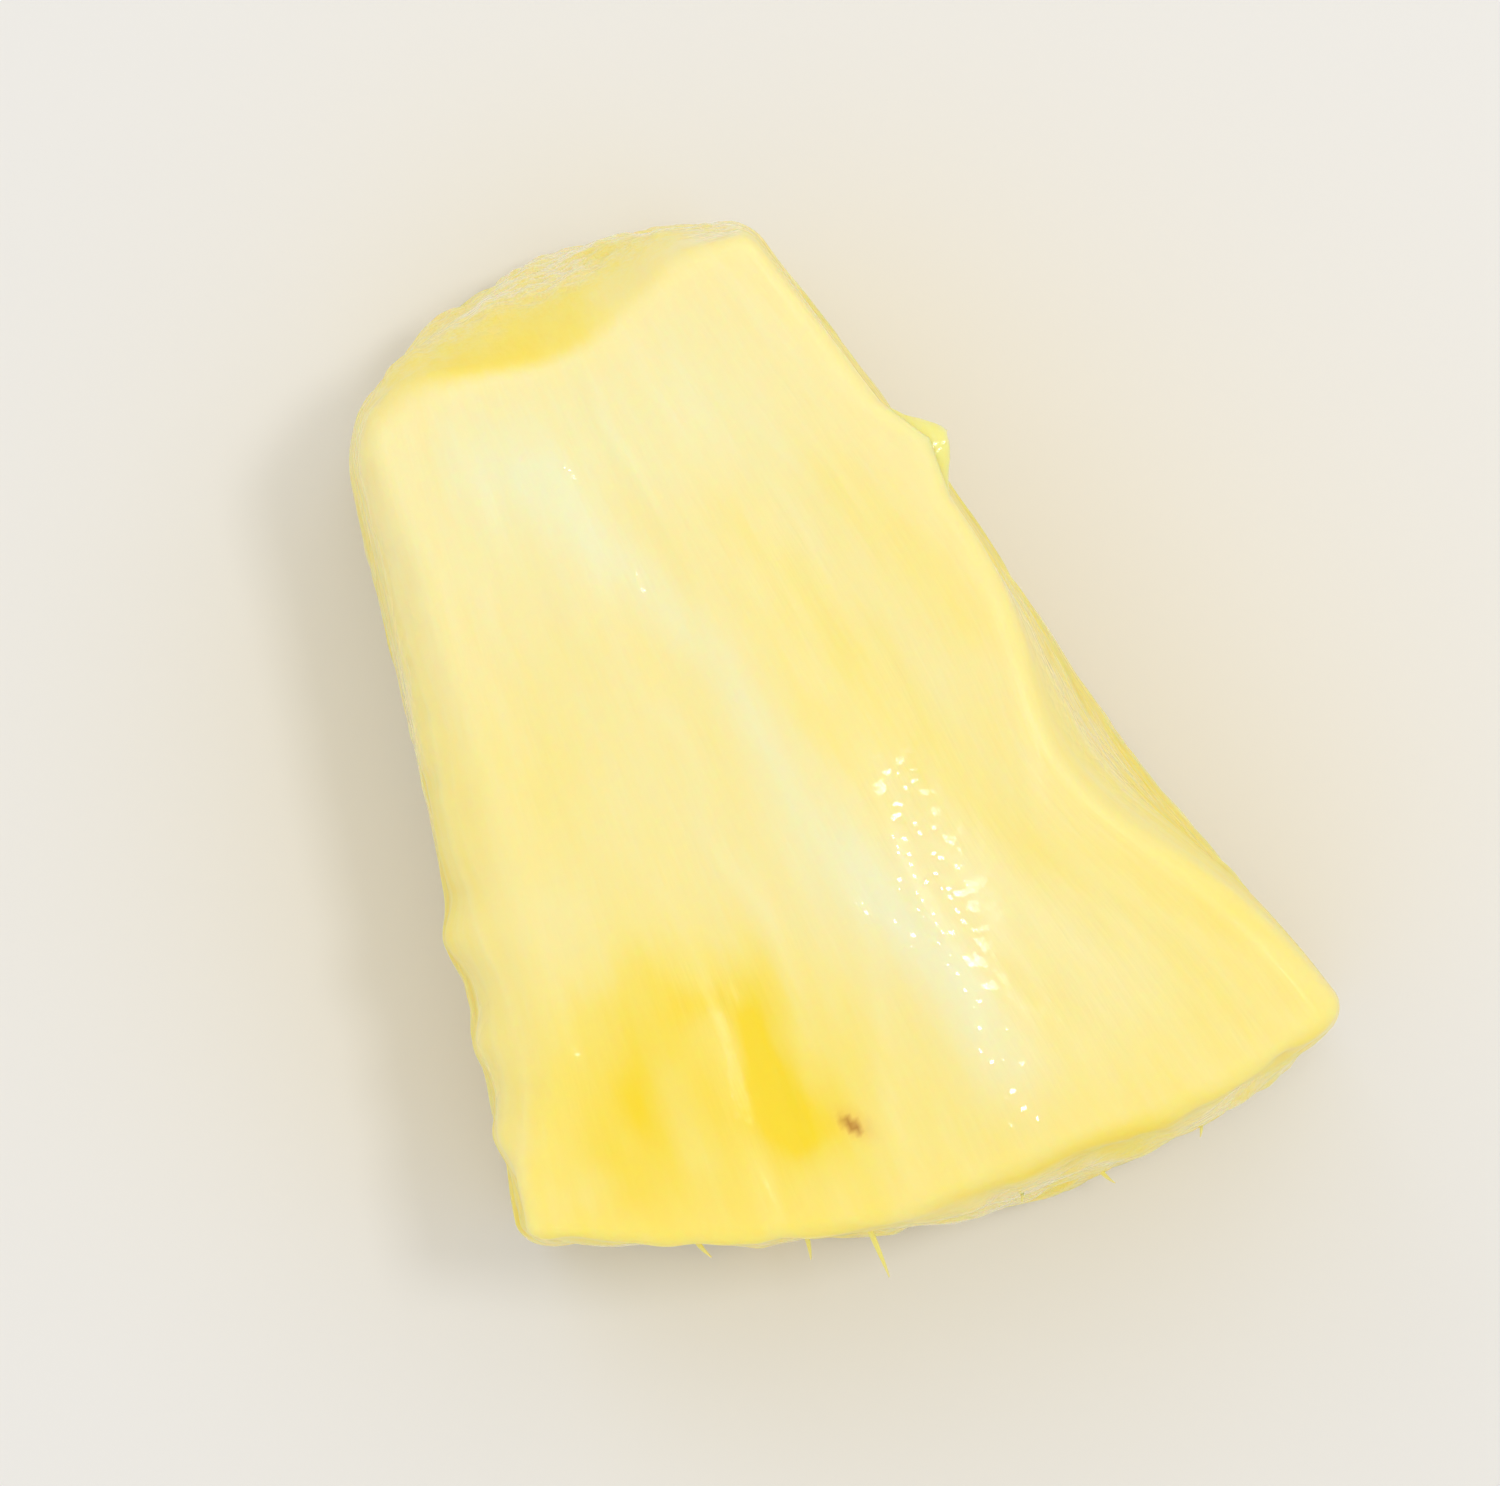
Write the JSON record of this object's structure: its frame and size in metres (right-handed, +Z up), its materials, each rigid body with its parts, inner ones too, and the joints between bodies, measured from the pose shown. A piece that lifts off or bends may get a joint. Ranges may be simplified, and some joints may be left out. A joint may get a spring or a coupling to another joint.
{
  "type": "pineapple chunk",
  "caption": "Fan-shaped wedge of fresh pineapple flesh cut from a thick slice, pale at the core end, golden at the bowed peel end.",
  "frame": {"origin": "under the middle of the chunk's box, on the flat underside that it rests on", "axes": "+Z up, out of the cut top of the slice; +Y along the flesh from the peel end to the core end; +X across the wedge"},
  "size_m": [0.034, 0.045, 0.0213],
  "materials": {
    "flesh": "wet fruit flesh, slightly translucent, creamy at the core end and golden at the peel end"
  },
  "bodies": {
    "root": {"chunk": "flesh"}
  },
  "joints": []
}
